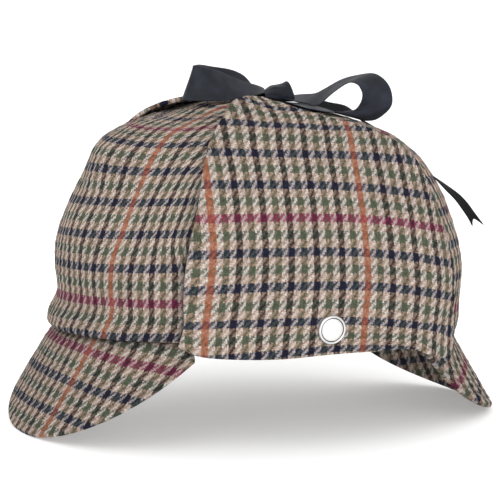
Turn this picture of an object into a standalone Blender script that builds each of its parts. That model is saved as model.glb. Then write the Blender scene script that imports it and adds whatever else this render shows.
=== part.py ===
"""A deerstalker hat in checked tweed, with its ear flaps tied up over the crown.

Metres, +Z up. The front peak points to -Y and the wearer's left is +X. The hat stands on the
lower edges of its two peaks, and the origin is the middle of its box, at floor level.
"""

import math

import bmesh
import bpy
from mathutils import Matrix, Vector

MM = 0.001

# ------------------------------------------------------------------ driving dimensions
RIM_PITCH = math.radians(2.4)       # the rim is a little higher at the front
RIM_HEIGHT = 48.4 * MM              # middle of the rim above the floor
CROWN_DEPTH = 112.8 * MM            # rim to the top of the dome
PLAN_EXPONENT = 2.15                # 2 is an ellipse, more is squarer
TOP_SLOPE = 0.05                    # fall of the dome towards the back

CROWN_WALL = 2.5 * MM               # tweed with its lining
SEAM_GAP = 0.4 * MM                 # between neighbouring panels
CROWN_TOP_SHARE = 0.992             # the panels end this far up the cloth
END_PANEL_HALF = math.radians(54)   # front and back panels, either side of the middle
CROWN_ROWS = 17
END_PANEL_COLUMNS = 18
SIDE_PANEL_COLUMNS = 12

FLAP_GAP = 1.1 * MM                 # between a flap and the crown
FLAP_THICKNESS = 2.4 * MM           # two layers of tweed
FLAP_HEM_REACH = 0.08               # the share of a flap's height that its hem hangs over
FLAP_ROWS = 17
FLAP_COLUMNS = 16
PEAK_THICKNESS = 3.5 * MM           # tweed over a stiffener
PEAK_REACH = 0.96                   # the solid stops just short of the pointed ends
PEAK_INSET = 0.8 * MM               # the peak starts under the crown's wall
PEAK_DROP = 0.6 * MM                # and this far below its rim
PEAK_FALL_POWER = 2.1               # how the fall changes from the middle to the ends
FOOT_HALF_WIDTH = 24.0 * MM         # the cloth that lies flat on the floor
PEAK_ROWS = 5
PEAK_COLUMNS = 28

RIBBON_THICKNESS = 0.9 * MM
BADGE_TURN = math.radians(-0.6)     # where the badge sits on the near flap
BADGE_SHARE = 0.085
BADGE_LIFT = 0.4 * MM               # gap to the cloth behind it
SHARP_EDGE = math.radians(35)       # edges sharper than this are left unsmoothed

TWEED = (0.42, 0.36, 0.29)
RIBBON_CLOTH = (0.035, 0.037, 0.046)
BADGE_METAL = (0.80, 0.80, 0.80)


class Table:
    """Named columns of numbers, read between the rows on a smooth curve.

    The first column is the key, and its values rise down the table.
    """

    def __init__(self, columns, rows):
        self.columns = columns
        self.rows = rows

    def slope(self, index):
        low = self.rows[max(index - 1, 0)]
        high = self.rows[min(index + 1, len(self.rows) - 1)]
        return [(b - a) / (high[0] - low[0]) for a, b in zip(low, high)]

    def at(self, key):
        index = 0
        while index < len(self.rows) - 2 and key >= self.rows[index + 1][0]:
            index += 1
        start, end = self.rows[index], self.rows[index + 1]
        step = end[0] - start[0]
        u = min(max((key - start[0]) / step, 0.0), 1.0)
        out_slope, in_slope = self.slope(index), self.slope(index + 1)
        values = {}
        for column, a, b, m, n in zip(self.columns, start, end, out_slope, in_slope):
            values[column] = (
                (2 * u**3 - 3 * u**2 + 1) * a
                + (u**3 - 2 * u**2 + u) * m * step
                + (3 * u**2 - 2 * u**3) * b
                + (u**3 - u**2) * n * step
            )
        return values


# The crown's section, from the rim (share 0) up the cloth to the top (share 1), in mm. Middle
# is how far the section lies behind the rim's own middle.
CROWN = Table(
    ("share", "height", "half_width", "half_length", "middle"),
    (
        (0.00, 0.0, 86.1, 106.2, 0.0),
        (0.07, 11.8, 86.0, 103.0, 0.0),
        (0.14, 24.2, 86.4, 104.8, 0.0),
        (0.22, 37.0, 86.6, 104.8, -0.3),
        (0.30, 50.2, 85.2, 101.3, -0.3),
        (0.38, 63.0, 82.5, 95.8, -0.3),
        (0.46, 75.3, 79.2, 89.6, 0.0),
        (0.54, 85.7, 74.4, 82.8, 0.5),
        (0.62, 93.9, 67.3, 74.5, 1.5),
        (0.70, 100.2, 57.5, 63.5, 3.0),
        (0.78, 105.2, 45.0, 49.7, 3.5),
        (0.86, 109.0, 31.2, 34.5, 3.0),
        (0.93, 111.5, 17.0, 19.0, 1.5),
        (1.00, 112.8, 0.0, 0.0, 0.0),
    ),
)

# A flap's outline, from its front edge (across 0) to its back edge (across 1): how far up the
# crown's cloth its top edge lies, and how far its hem hangs below the rim, in mm.
FLAP_ENDS = Table(
    ("across", "top_share", "hem_drop"),
    (
        (0.00, 0.760, 2.5),
        (0.06, 0.820, 2.5),
        (0.15, 0.850, 2.4),
        (0.30, 0.865, 1.6),
        (0.50, 0.850, 0.7),
        (0.65, 0.820, 1.2),
        (0.80, 0.785, 2.4),
        (0.92, 0.740, 3.4),
        (1.00, 0.620, 3.6),
    ),
)

# A flap's two side edges, from its hem (up 0) to its top (up 1): their turn about the crown in
# degrees, 0 at the wearer's side and positive towards the back.
FLAP_SIDES = Table(
    ("up", "front_turn", "back_turn"),
    (
        (0.00, -40.0, 45.0),
        (0.08, -40.0, 48.0),
        (0.17, -40.0, 46.0),
        (0.30, -40.0, 43.0),
        (0.50, -40.0, 42.0),
        (0.75, -40.5, 40.0),
        (0.90, -45.0, 40.5),
        (1.00, -50.0, 41.0),
    ),
)

# The two peaks: the turn of the middle and the half angle of the root in degrees, the length
# down the middle in mm, the fall below level in degrees at the middle and at the ends, and how
# quickly the length shrinks towards the ends.
PEAK_VALUES = ("turn", "half_angle", "length", "mid_fall", "end_fall", "taper")
PEAKS = {
    "front_peak": (-90.0, 55.9, 57.0, 70.2, 65.7, 0.82),
    "back_peak": (90.0, 59.2, 49.7, 58.8, 120.0, 1.20),
}

# Each stretch of ribbon, in the rim's frame and in mm: its middle line (x, y, z), the way its
# width lies (ax, ay, az), and its width, which is gathered where it meets the knot.
RIBBON_COLUMNS = ("row", "x", "y", "z", "ax", "ay", "az", "width")
RIBBONS = {
    "ribbon_loop_back": (
        (1.5, 13.4, 116.4, 1.00, 0.00, 0.00, 11.0),
        (1.0, 21.0, 114.8, 1.00, 0.00, 0.00, 15.0),
        (1.8, 29.0, 118.0, 1.00, 0.00, 0.00, 18.0),
        (2.6, 36.7, 122.4, 1.00, -0.10, 0.10, 18.0),
        (4.0, 43.4, 125.2, 0.95, -0.25, -0.15, 18.0),
        (6.5, 49.4, 125.0, 0.71, -0.52, -0.47, 18.0),
        (8.5, 52.9, 121.8, 0.34, -0.87, -0.35, 18.0),
        (9.4, 53.9, 117.3, 0.14, -0.99, -0.10, 18.0),
        (9.2, 52.6, 112.6, 0.30, -0.88, 0.36, 18.0),
        (8.8, 48.6, 110.3, 0.60, -0.53, 0.40, 18.0),
        (9.0, 42.0, 109.7, 0.92, -0.10, 0.12, 18.0),
        (9.0, 34.0, 110.0, 1.00, 0.00, 0.00, 18.0),
        (7.0, 24.8, 111.2, 1.00, 0.00, -0.03, 15.0),
        (3.5, 13.4, 112.9, 1.00, 0.00, 0.00, 11.0),
    ),
    "ribbon_loop_front": (
        (-1.0, -4.2, 118.0, 1.00, 0.00, -0.10, 10.0),
        (-3.5, -10.0, 117.9, 0.92, 0.00, -0.39, 13.0),
        (-4.5, -17.0, 118.5, 0.85, -0.05, -0.55, 16.0),
        (-4.8, -24.0, 119.2, 0.72, -0.07, -0.69, 18.0),
        (-4.8, -31.0, 119.8, 0.57, -0.10, -0.82, 18.0),
        (-5.5, -38.0, 120.2, 0.35, -0.15, -0.93, 18.0),
        (-8.6, -41.8, 120.1, 0.00, -0.25, -1.00, 18.0),
        (-13.2, -40.6, 119.6, -0.10, -0.25, -1.00, 18.0),
        (-18.0, -35.0, 119.0, 0.20, -0.25, -0.95, 18.0),
        (-21.5, -24.0, 118.9, 0.60, -0.15, -0.75, 18.0),
        (-18.5, -14.0, 118.2, 0.82, 0.00, -0.50, 16.0),
        (-10.8, -8.6, 116.8, 0.90, -0.30, -0.20, 11.0),
        (-3.8, -5.8, 115.6, 0.60, -0.80, -0.10, 6.5),
    ),
    "ribbon_tail_back": (
        (-10.0, 14.8, 113.6, 0.80, -0.60, 0.10, 8.0),
        (-12.5, 21.5, 111.9, 1.00, -0.25, 0.10, 14.0),
        (-15.5, 33.0, 108.9, 1.00, -0.10, 0.10, 18.0),
        (-19.0, 46.0, 105.2, 1.00, -0.10, 0.12, 18.0),
        (-23.0, 60.0, 100.4, 1.00, -0.10, 0.15, 18.0),
        (-26.0, 71.5, 94.4, 1.00, -0.10, 0.20, 18.0),
        (-28.0, 83.0, 87.0, 1.00, -0.15, 0.05, 18.0),
        (-29.0, 95.0, 79.4, 1.00, -0.20, -0.10, 18.0),
        (-29.3, 105.0, 73.6, 1.00, -0.25, -0.15, 18.0),
        (-29.2, 115.0, 67.8, 1.00, -0.28, -0.19, 18.0),
        (-29.0, 123.5, 61.7, 1.00, -0.28, -0.19, 18.0),
        (-29.0, 131.0, 55.2, 1.00, -0.28, -0.19, 18.0),
        (-29.0, 140.0, 45.4, 1.00, -0.28, -0.19, 18.0),
    ),
    "ribbon_tail_side": (
        (-8.8, 3.0, 116.8, 0.27, 0.96, 0.00, 8.0),
        (-14.5, 5.0, 115.8, 0.27, 0.96, 0.00, 12.0),
        (-24.0, 9.0, 114.6, 0.27, 0.96, -0.05, 17.0),
        (-34.0, 12.8, 112.4, 0.27, 0.96, -0.05, 18.0),
        (-42.4, 16.2, 109.9, 0.27, 0.96, 0.00, 18.0),
        (-52.0, 19.1, 106.4, 0.27, 0.96, 0.00, 18.0),
        (-60.8, 22.2, 102.1, 0.27, 0.96, 0.00, 18.0),
        (-68.0, 24.7, 96.7, 0.27, 0.96, 0.00, 18.0),
        (-73.8, 27.4, 90.0, 0.27, 0.96, 0.00, 18.0),
        (-77.9, 30.2, 82.0, 0.27, 0.96, 0.00, 18.0),
    ),
    "ribbon_tie_left": (
        (8.4, 6.4, 112.7, 0.42, 0.91, -0.08, 13.0),
        (15.0, 3.4, 112.4, 0.42, 0.91, -0.08, 16.0),
        (23.0, -0.2, 111.5, 0.42, 0.91, -0.08, 17.0),
        (30.9, -3.9, 110.2, 0.42, 0.91, -0.08, 17.0),
    ),
    "ribbon_tie_right": (
        (-8.4, 6.4, 112.7, -0.42, 0.91, -0.08, 13.0),
        (-15.0, 3.4, 112.4, -0.42, 0.91, -0.08, 16.0),
        (-23.0, -0.2, 111.5, -0.42, 0.91, -0.08, 17.0),
        (-30.9, -3.9, 110.2, -0.42, 0.91, -0.08, 17.0),
    ),
}
RIBBON_STEPS = {
    "ribbon_loop_back": 34,
    "ribbon_loop_front": 30,
    "ribbon_tail_back": 18,
    "ribbon_tail_side": 12,
    "ribbon_tie_left": 6,
    "ribbon_tie_right": 6,
}
TAIL_NOTCH = 7.0 * MM               # depth of the V cut in a tail's end

# The knot, a short fat roll lying front to back: middle and half sizes in mm, and how blunt its
# ends are (0 would be a cylinder, 1 a ball).
KNOT_MIDDLE = Vector((0.5, 4.9, 117.2))
KNOT_HALF = Vector((7.2, 8.0, 4.2))
KNOT_END_BLUNTNESS = 0.45
KNOT_RING_SPREAD = 0.8
KNOT_SIDES = 14
KNOT_RINGS = 8

# The badge's turned section, from the middle of its back out and round to its face, in mm.
BADGE_SECTION = (
    (0.0, 0.0),
    (6.4, 0.0),
    (7.2, 0.6),
    (7.2, 1.5),
    (6.6, 2.0),
    (6.0, 2.0),
    (5.6, 1.6),
    (0.0, 1.6),
)
BADGE_SIDES = 32


# ------------------------------------------------------------------ making meshes
def add_object(name, points, faces, colour, roughness, metallic=0.0):
    """Make one closed object with its faces pointing out and a material of its own."""
    mesh = bpy.data.meshes.new(name)
    mesh.from_pydata([tuple(point) for point in points], [], faces)
    shape = bmesh.new()
    shape.from_mesh(mesh)
    bmesh.ops.recalc_face_normals(shape, faces=shape.faces)
    shape.to_mesh(mesh)
    shape.free()
    piece = bpy.data.objects.new(name, mesh)
    bpy.context.scene.collection.objects.link(piece)
    mesh.shade_smooth()
    mesh.set_sharp_from_angle(angle=SHARP_EDGE)

    material = bpy.data.materials.new(name)
    material.use_nodes = True
    shader = material.node_tree.nodes["Principled BSDF"]
    shader.inputs["Base Color"].default_value = (*colour, 1.0)
    shader.inputs["Roughness"].default_value = roughness
    shader.inputs["Metallic"].default_value = metallic
    mesh.materials.append(material)
    return piece


def plate_between(outer, inner):
    """Points and faces of the closed plate between two grids of the same size."""
    rows, columns = len(outer), len(outer[0])
    points = [point for grid in (outer, inner) for row in grid for point in row]

    def index(side, row, column):
        return side * rows * columns + row * columns + column

    faces = []
    for row in range(rows - 1):
        for column in range(columns - 1):
            corners = ((row, column), (row, column + 1), (row + 1, column + 1), (row + 1, column))
            faces.append([index(0, *corner) for corner in corners])
            faces.append([index(1, *corner) for corner in reversed(corners)])
    border = [(0, column) for column in range(columns)]
    border += [(row, columns - 1) for row in range(1, rows)]
    border += [(rows - 1, column) for column in range(columns - 2, -1, -1)]
    border += [(row, 0) for row in range(rows - 2, 0, -1)]
    for here, there in zip(border, border[1:] + border[:1]):
        faces.append([index(0, *there), index(0, *here), index(1, *here), index(1, *there)])
    return points, faces


# ------------------------------------------------------------------ the crown's surface
def place(point):
    """From the rim's own frame to the hat as it stands on the floor."""
    turned = Matrix.Rotation(-RIM_PITCH, 3, "X") @ point
    return turned + Vector((0.0, 0.0, RIM_HEIGHT))


def signed_power(value, power):
    return math.copysign(abs(value) ** power, value)


def crown_surface(turn, share):
    """A point of the crown's outer face, in the rim's frame. Turn 0 is +X, a right angle +Y."""
    section = CROWN.at(share)
    power = 2.0 / PLAN_EXPONENT
    x = section["half_width"] * MM * signed_power(math.cos(turn), power)
    y = section["half_length"] * MM * signed_power(math.sin(turn), power)
    y += section["middle"] * MM
    height = section["height"] * MM
    fall = TOP_SLOPE * y * (height / CROWN_DEPTH) ** 2
    return Vector((x, y, height - fall))


def crown_normal(turn, share):
    """The way out of the cloth, found from points a small step away on the same surface."""
    step = 0.001
    share = min(share, 1.0 - 10 * step)
    along = crown_surface(turn + step, share) - crown_surface(turn - step, share)
    up = crown_surface(turn, share + step) - crown_surface(turn, max(share - step, 0.0))
    return along.cross(up).normalized()


def crown_point(turn, share, proud=0.0, drop=0.0):
    """A point proud of the crown's outer face, or inside it, and dropped straight down."""
    point = crown_surface(turn, share) + crown_normal(turn, share) * proud
    return place(point - Vector((0.0, 0.0, drop)))


def build_crown_panel(name, middle, half, columns):
    """One panel of the crown, hollow inside, with half a seam's gap at each side."""
    outer, inner = [], []
    for row in range(CROWN_ROWS + 1):
        share = CROWN_TOP_SHARE * row / CROWN_ROWS
        section = CROWN.at(share)
        gap_turn = SEAM_GAP / 2 / (min(section["half_width"], section["half_length"]) * MM)
        turns = [middle - half + gap_turn + (2 * half - 2 * gap_turn) * i / columns
                 for i in range(columns + 1)]
        outer.append([crown_point(turn, share) for turn in turns])
        inner.append([crown_point(turn, share, proud=-CROWN_WALL) for turn in turns])
    points, faces = plate_between(outer, inner)
    return add_object(name, points, faces, TWEED, 0.95)


def build_crown():
    right_angle = math.pi / 2
    side_half = right_angle - END_PANEL_HALF
    build_crown_panel("crown_front", -right_angle, END_PANEL_HALF, END_PANEL_COLUMNS)
    build_crown_panel("crown_back", right_angle, END_PANEL_HALF, END_PANEL_COLUMNS)
    build_crown_panel("crown_left", 0.0, side_half, SIDE_PANEL_COLUMNS)
    build_crown_panel("crown_right", math.pi, side_half, SIDE_PANEL_COLUMNS)


# ------------------------------------------------------------------ the flaps and the peaks
def flap_point(across, up, proud):
    """A point of the near flap. Across runs front to back and up runs from the hem."""
    ends = FLAP_ENDS.at(across)
    sides = FLAP_SIDES.at(up)
    turn = math.radians(sides["front_turn"] + (sides["back_turn"] - sides["front_turn"]) * across)
    share = up * ends["top_share"]
    drop = ends["hem_drop"] * MM * max(1.0 - up / FLAP_HEM_REACH, 0.0)
    return crown_point(turn, share, proud=proud, drop=drop)


def mirrored(point):
    return Vector((-point.x, point.y, point.z))


def build_flap(name, mirror):
    outer, inner = [], []
    places = [column / FLAP_COLUMNS for column in range(FLAP_COLUMNS + 1)]
    for row in range(FLAP_ROWS + 1):
        up = row / FLAP_ROWS
        outer.append([flap_point(across, up, FLAP_GAP + FLAP_THICKNESS) for across in places])
        inner.append([flap_point(across, up, FLAP_GAP) for across in places])
    if mirror:
        outer = [[mirrored(point) for point in row] for row in outer]
        inner = [[mirrored(point) for point in row] for row in inner]
    points, faces = plate_between(outer, inner)
    return add_object(name, points, faces, TWEED, 0.95)


def peak_face_point(peak, across, out):
    """A point of a peak's upper face. Across is -1 to 1, out is 0 at the rim and 1 at the edge."""
    turn = math.radians(peak["turn"] + across * peak["half_angle"])
    rim = crown_surface(turn, 0.0)
    away = crown_normal(turn, 0.0)
    away = Vector((away.x, away.y, 0.0)).normalized()
    down = Vector((0.0, 0.0, -1.0))
    change = abs(across) ** PEAK_FALL_POWER
    fall = math.radians(peak["mid_fall"] + (peak["end_fall"] - peak["mid_fall"]) * change)
    length = peak["length"] * MM * math.cos(math.pi / 2 * abs(across)) ** peak["taper"]
    start = (down * PEAK_DROP - away * PEAK_INSET) * (1.0 - out)
    return rim + start + (away * math.cos(fall) + down * math.sin(fall)) * length * out


def peak_inward(peak, across, out):
    """From the upper face to the underside. The underside never rises above the root."""
    step = 0.002
    along = peak_face_point(peak, across + step, out) - peak_face_point(peak, across - step, out)
    low, high = max(out - step, 0.0), min(out + step, 1.0)
    outward = peak_face_point(peak, across, high) - peak_face_point(peak, across, low)
    inward = along.cross(outward).normalized() * PEAK_THICKNESS
    inward.z = min(inward.z, 0.0)
    return inward


def flattened(point, at_edge):
    """Cloth that would pass through the floor lies on it, with a flat foot in the middle."""
    if at_edge and abs(point.x) < FOOT_HALF_WIDTH:
        return Vector((point.x, point.y, 0.0))
    return Vector((point.x, point.y, max(point.z, 0.0)))


def build_peak(name):
    peak = dict(zip(PEAK_VALUES, PEAKS[name]))
    upper, under = [], []
    for row in range(PEAK_ROWS + 1):
        out = row / PEAK_ROWS
        at_edge = row == PEAK_ROWS
        upper_row, under_row = [], []
        for column in range(PEAK_COLUMNS + 1):
            across = PEAK_REACH * (2 * column / PEAK_COLUMNS - 1)
            point = peak_face_point(peak, across, out)
            inward = peak_inward(peak, across, out)
            upper_row.append(flattened(place(point), at_edge))
            under_row.append(flattened(place(point + inward), at_edge))
        upper.append(upper_row)
        under.append(under_row)
    points, faces = plate_between(upper, under)
    return add_object(name, points, faces, TWEED, 0.95)


# ------------------------------------------------------------------ the ribbon and the badge
def ribbon_section(table, row):
    """Middle, width direction and width of a ribbon at a place along its table."""
    here = table.at(row)
    step = 0.05
    last = table.rows[-1][0]
    low, high = table.at(max(row - step, 0.0)), table.at(min(row + step, last))
    along = Vector([high[axis] - low[axis] for axis in ("x", "y", "z")]).normalized()
    across = Vector((here["ax"], here["ay"], here["az"]))
    across = (across - along * across.dot(along)).normalized()
    middle = Vector((here["x"], here["y"], here["z"])) * MM
    return middle, along, across, here["width"] * MM


def build_ribbon(name):
    """A flat band swept along its table. A tail's end has a V cut in it."""
    rows = [(index, *row) for index, row in enumerate(RIBBONS[name])]
    table = Table(RIBBON_COLUMNS, rows)
    steps = RIBBON_STEPS[name]
    is_tail = "tail" in name
    faces_of_band = {1.0: [], -1.0: []}
    for step in range(steps + 1):
        middle, along, across, width = ribbon_section(table, (len(rows) - 1) * step / steps)
        face_normal = across.cross(along)
        for side, grid in faces_of_band.items():
            line = []
            for share in (-0.5, 0.0, 0.5):
                point = middle + across * width * share
                point += face_normal * side * RIBBON_THICKNESS / 2
                if is_tail and step == steps:
                    point += along * TAIL_NOTCH * (abs(share) * 2 - 1)
                line.append(place(point))
            grid.append(line)
    points, faces = plate_between(faces_of_band[1.0], faces_of_band[-1.0])
    return add_object(name, points, faces, RIBBON_CLOTH, 0.6)


def build_knot():
    """A rounded roll with blunt ends, from its front end to its back end."""
    points = []
    for ring in range(1, KNOT_RINGS):
        lengthwise = math.pi * ring / KNOT_RINGS
        radius = math.sin(lengthwise) ** KNOT_END_BLUNTNESS
        for side in range(KNOT_SIDES):
            angle = 2 * math.pi * side / KNOT_SIDES
            offset = Vector((
                KNOT_HALF.x * radius * math.cos(angle),
                -KNOT_HALF.y * signed_power(math.cos(lengthwise), KNOT_RING_SPREAD),
                KNOT_HALF.z * radius * math.sin(angle),
            ))
            points.append(place((KNOT_MIDDLE + offset) * MM))
    rings = KNOT_RINGS - 1
    faces = []
    for ring in range(rings - 1):
        for side in range(KNOT_SIDES):
            beside = (side + 1) % KNOT_SIDES
            faces.append([
                ring * KNOT_SIDES + side,
                ring * KNOT_SIDES + beside,
                (ring + 1) * KNOT_SIDES + beside,
                (ring + 1) * KNOT_SIDES + side,
            ])
    faces.append(list(range(KNOT_SIDES)))
    faces.append([(rings - 1) * KNOT_SIDES + side for side in reversed(range(KNOT_SIDES))])
    return add_object("ribbon_knot", points, faces, RIBBON_CLOTH, 0.6)


def build_badge():
    """A plain round stud with a raised rim, standing off the near flap."""
    seat = crown_point(BADGE_TURN, BADGE_SHARE, proud=FLAP_GAP + FLAP_THICKNESS + BADGE_LIFT)
    out = crown_point(BADGE_TURN, BADGE_SHARE, proud=0.02) - crown_point(BADGE_TURN, BADGE_SHARE)
    turn_to_face = Vector((0.0, 0.0, 1.0)).rotation_difference(out.normalized()).to_matrix()
    turned = BADGE_SECTION[1:-1]
    points = [Vector((0.0, 0.0, BADGE_SECTION[0][1]))]
    for radius, height in turned:
        for side in range(BADGE_SIDES):
            angle = 2 * math.pi * side / BADGE_SIDES
            points.append(Vector((radius * math.cos(angle), radius * math.sin(angle), height)))
    points.append(Vector((0.0, 0.0, BADGE_SECTION[-1][1])))
    last = len(points) - 1
    faces = []
    for side in range(BADGE_SIDES):
        beside = (side + 1) % BADGE_SIDES
        faces.append([0, 1 + beside, 1 + side])
        for ring in range(len(turned) - 1):
            low, high = 1 + ring * BADGE_SIDES, 1 + (ring + 1) * BADGE_SIDES
            faces.append([low + side, low + beside, high + beside, high + side])
        top = 1 + (len(turned) - 1) * BADGE_SIDES
        faces.append([last, top + side, top + beside])
    points = [seat + turn_to_face @ point * MM for point in points]
    return add_object("badge", points, faces, BADGE_METAL, 0.3, metallic=1.0)


# ------------------------------------------------------------------ the whole hat
def clear_scene():
    for piece in list(bpy.data.objects):
        bpy.data.objects.remove(piece, do_unlink=True)


def stand_on_origin():
    """Shift every piece so that the middle of the hat's box is over the origin."""
    pieces = list(bpy.context.scene.objects)
    corners = [vertex.co for piece in pieces for vertex in piece.data.vertices]
    middle = [(min(c[axis] for c in corners) + max(c[axis] for c in corners)) / 2
              for axis in range(2)]
    lowest = min(corner.z for corner in corners)
    for piece in pieces:
        piece.location = (-middle[0], -middle[1], -lowest)
    bpy.context.view_layer.update()


def build_hat():
    clear_scene()
    build_crown()
    build_flap("ear_flap_left", mirror=False)
    build_flap("ear_flap_right", mirror=True)
    for name in PEAKS:
        build_peak(name)
    for name in RIBBONS:
        build_ribbon(name)
    build_knot()
    build_badge()
    stand_on_origin()


build_hat()
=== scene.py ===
# %% [markdown]
# # A tweed deerstalker
# The hat is cloth sewn round a dome: four crown panels, a stiff peak front and back, two ear
# flaps turned up over the sides, and the ribbon that ties them together on top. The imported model
# gives every piece a place. Here each piece gets soft cloth with round edges and real weaving.

# %% Load the frame
import math

import bmesh
import bpy
import numpy as np
from mathutils import Matrix, Vector


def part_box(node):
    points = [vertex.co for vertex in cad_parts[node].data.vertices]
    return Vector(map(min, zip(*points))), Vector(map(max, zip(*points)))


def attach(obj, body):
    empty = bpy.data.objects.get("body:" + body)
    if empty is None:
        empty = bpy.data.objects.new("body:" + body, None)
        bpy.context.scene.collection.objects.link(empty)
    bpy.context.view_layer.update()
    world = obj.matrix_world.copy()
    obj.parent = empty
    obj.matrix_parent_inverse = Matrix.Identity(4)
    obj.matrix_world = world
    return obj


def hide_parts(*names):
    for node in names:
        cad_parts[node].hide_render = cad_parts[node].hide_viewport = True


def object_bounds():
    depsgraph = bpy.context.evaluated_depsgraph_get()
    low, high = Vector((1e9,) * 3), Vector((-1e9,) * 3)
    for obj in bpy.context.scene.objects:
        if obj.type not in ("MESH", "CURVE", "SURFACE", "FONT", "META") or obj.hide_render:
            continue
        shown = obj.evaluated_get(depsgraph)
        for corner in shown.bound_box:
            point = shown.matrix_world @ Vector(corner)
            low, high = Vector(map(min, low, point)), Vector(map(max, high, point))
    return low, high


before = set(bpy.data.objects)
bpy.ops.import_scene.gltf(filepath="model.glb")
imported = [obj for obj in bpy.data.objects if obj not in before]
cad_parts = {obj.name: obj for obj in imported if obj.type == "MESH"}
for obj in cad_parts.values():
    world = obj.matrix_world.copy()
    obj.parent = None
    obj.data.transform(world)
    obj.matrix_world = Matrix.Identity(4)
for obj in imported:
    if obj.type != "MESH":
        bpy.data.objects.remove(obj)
cad_low, cad_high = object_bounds()
MM = 0.001
size_mm = [round((high - low) / MM, 1) for low, high in zip(cad_low, cad_high)]
print("the hat's box, mm:", size_mm)

# %% [markdown]
# ## The maker's sizes
# A hat is drafted from a few measurements: round the head, up over the dome, and along each
# peak. The dome could be sculpted, but short tables can be checked with a tape, and a smooth curve
# through their rows gives every height between.

# %% A table read on a smooth curve
class Table:
    """Named columns of numbers, read between the rows on a smooth curve."""

    def __init__(self, columns, rows):
        self.columns = columns
        self.rows = np.array(rows, float)
        number, last = np.arange(len(rows)), len(rows) - 1
        run = self.rows[np.minimum(number + 1, last)] - self.rows[np.maximum(number - 1, 0)]
        self.slopes = run / run[:, :1]

    def at(self, key):
        key = np.asarray(key, float)
        keys = self.rows[:, 0]
        index = np.clip(np.searchsorted(keys, key, side="right") - 1, 0, len(keys) - 2)
        step = keys[index + 1] - keys[index]
        u = np.clip((key - keys[index]) / step, 0.0, 1.0)[..., None]
        step = step[..., None]
        found = (
            (2 * u**3 - 3 * u**2 + 1) * self.rows[index]
            + (u**3 - 2 * u**2 + u) * self.slopes[index] * step
            + (3 * u**2 - 2 * u**3) * self.rows[index + 1]
            + (u**3 - u**2) * self.slopes[index + 1] * step
        )
        return {name: found[..., place] for place, name in enumerate(self.columns)}


# %% A ramp, a soft ramp and a hump, which shape most of the wear
def ramp(value, start, end):
    """0 up to the start, 1 from the end on, and even between them."""
    return np.clip((value - start) / (end - start), 0.0, 1.0)


def soft_ramp(value, start, end):
    part = ramp(value, start, end)
    return (3 - 2 * part) * part**2


def hump(value, middle, width):
    """1 in the middle, and falling away softly on both sides."""
    return np.exp(-(((value - middle) / width) ** 2))


# %% Sizes of the crown, in mm
RIM_PITCH = math.radians(2.4)
RIM_HEIGHT = 48.4 * MM
CROWN_DEPTH = 112.8 * MM
PLAN_EXPONENT = 2.15
TOP_SLOPE = 0.05
CROWN_WALL = 2.5 * MM
SEAM_GAP = 0.4 * MM
END_PANEL_HALF = math.radians(54)

CROWN = Table(
    ("share", "height", "half_width", "half_length", "middle"),
    (
        (0.00, 0.0, 86.1, 106.2, 0.0), (0.07, 11.8, 86.0, 103.0, 0.0),
        (0.14, 24.2, 86.4, 104.8, 0.0), (0.22, 37.0, 86.6, 104.8, -0.3),
        (0.30, 50.2, 85.2, 101.3, -0.3), (0.38, 63.0, 82.5, 95.8, -0.3),
        (0.46, 75.3, 79.2, 89.6, 0.0), (0.54, 85.7, 74.4, 82.8, 0.5),
        (0.62, 93.9, 67.3, 74.5, 1.5), (0.70, 100.2, 57.5, 63.5, 3.0),
        (0.78, 105.2, 45.0, 49.7, 3.5), (0.86, 109.0, 31.2, 34.5, 3.0),
        (0.93, 111.5, 17.0, 19.0, 1.5), (1.00, 112.8, 0.0, 0.0, 0.0),
    ),
)

# %% [markdown]
# ## The crown's surface
# Real crown panels are cut flat and eased into a dome. Every tweed piece but the peaks follows
# that dome, so one function gives it for all of them, and no two pieces can drift apart: a turn
# round it and a share of the way up it make a point. The rim is a little higher at the front.

# %% Points on the crown
def signed_power(value, power):
    return np.sign(value) * np.abs(value) ** power


def dome(turn, share):
    """A point of the crown's outer face in the rim's own frame, in metres."""
    section = CROWN.at(share)
    power = 2.0 / PLAN_EXPONENT
    x = section["half_width"] * MM * signed_power(np.cos(turn), power)
    y = section["half_length"] * MM * signed_power(np.sin(turn), power) + section["middle"] * MM
    height = section["height"] * MM
    return np.stack([x, y, height - TOP_SLOPE * y * (height / CROWN_DEPTH) ** 2], -1)


def unit(vectors):
    return vectors / np.maximum(np.linalg.norm(vectors, axis=-1, keepdims=True), 1e-12)


def dome_normal(turn, share):
    step = 0.001
    share = np.minimum(share, 1.0 - 10 * step)
    along = dome(turn + step, share) - dome(turn - step, share)
    up = dome(turn, share + step) - dome(turn, np.maximum(share - step, 0.0))
    return unit(np.cross(along, up))


# %% How high the crown stands under a point
def dome_height(x, y):
    """The dome's height, anywhere from a third of the way up."""
    shares = np.linspace(0.3, 0.9995, 400)
    section = CROWN.at(shares)
    flat_x, flat_y = np.ravel(x)[:, None], np.ravel(y)[:, None]
    reach = (np.abs(flat_x / (section["half_width"] * MM)) ** PLAN_EXPONENT
             + np.abs((flat_y / MM - section["middle"]) / section["half_length"]) ** PLAN_EXPONENT)
    share = np.array([np.interp(1.0, row, shares) for row in reach]).reshape(np.shape(x))
    height = CROWN.at(share)["height"] * MM
    return height - TOP_SLOPE * y * (height / CROWN_DEPTH) ** 2


# %% Stand the rim where the frame has it
def tipped(points):
    c, s = math.cos(RIM_PITCH), math.sin(RIM_PITCH)
    x, y, z = points[..., 0], points[..., 1], points[..., 2]
    return np.stack([x, y * c + z * s, z * c - y * s + RIM_HEIGHT], -1)


front_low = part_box("crown_front")[0]
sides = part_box("crown_right")[0].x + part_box("crown_left")[1].x
own_front = tipped(dome(np.array(-math.pi / 2), np.array(0.0)))
RIM_MIDDLE = np.array([sides / 2, front_low.y - own_front[1], 0.0])


def stand(points):
    """From the rim's own frame to the hat as it stands."""
    return tipped(points) + RIM_MIDDLE


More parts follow.
